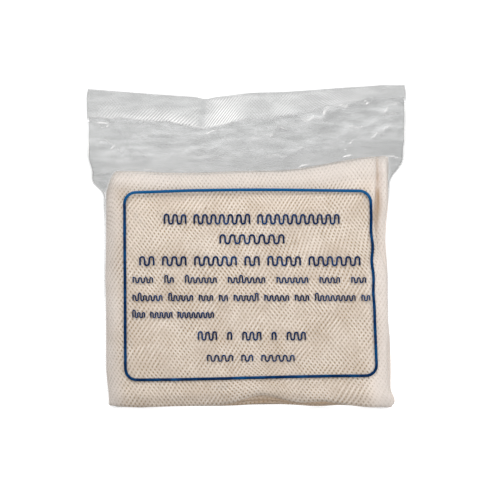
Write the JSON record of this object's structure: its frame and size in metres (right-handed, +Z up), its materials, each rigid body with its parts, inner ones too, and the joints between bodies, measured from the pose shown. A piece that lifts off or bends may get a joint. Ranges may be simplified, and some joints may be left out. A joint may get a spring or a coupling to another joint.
{
  "type": "arm sling",
  "caption": "Triangular muslin arm sling bandage, folded flat with safety pins in a sealed clear film bag; the empty header flap above the cloth folds over.",
  "frame": {"origin": "centre of the pack's flat bottom, in the plane of the bag's two side welds", "axes": "+Z up towards the header, -Y out of the printed front, +X to the right as the front is seen"},
  "size_m": [0.1444, 0.0166, 0.1435],
  "materials": {
    "muslin": "unbleached plain-weave cotton, matte",
    "clear_film": "clear polyethylene film, soft gloss",
    "heat_seal": "two films fused under a fine diamond knurl",
    "pin_wire": "drawn steel wire, nickel plated",
    "pin_clasp": "pressed sheet, nickel plated"
  },
  "bodies": {
    "pack": {"folded_bandage": "muslin", "bag_front_film": "clear_film", "bag_back_film": "clear_film", "bag_bottom_fold": "clear_film", "bag_weld_left": "heat_seal", "bag_weld_right": "heat_seal", "pin_1_leg": "pin_wire", "pin_1_clasp": "pin_clasp", "pin_2_leg": "pin_wire", "pin_2_clasp": "pin_clasp"},
    "header": {"header_front_film": "clear_film", "header_back_film": "clear_film", "header_weld_left": "heat_seal", "header_weld_right": "heat_seal", "top_seal_band": "heat_seal"},
    "first_pin_arm": {"pin_1_arm": "pin_wire"},
    "second_pin_arm": {"pin_2_arm": "pin_wire"}
  },
  "joints": [
    {"name": "header_fold", "type": "hinge", "parent": "pack", "child": "header", "pos_m": [0, 0, 0.122], "axis": [1, 0, 0], "range_deg": [-90, 90], "stiffness_Nm_per_rad": 0.002},
    {"name": "first_pin_open", "type": "hinge", "parent": "pack", "child": "first_pin_arm", "pos_m": [-0.02453, 0.0064, 0.02397], "axis": [0, -1, 0], "range_deg": [0, 40]},
    {"name": "second_pin_open", "type": "hinge", "parent": "pack", "child": "second_pin_arm", "pos_m": [-0.01044, 0.0064, 0.06634], "axis": [0, -1, 0], "range_deg": [0, 40]}
  ]
}
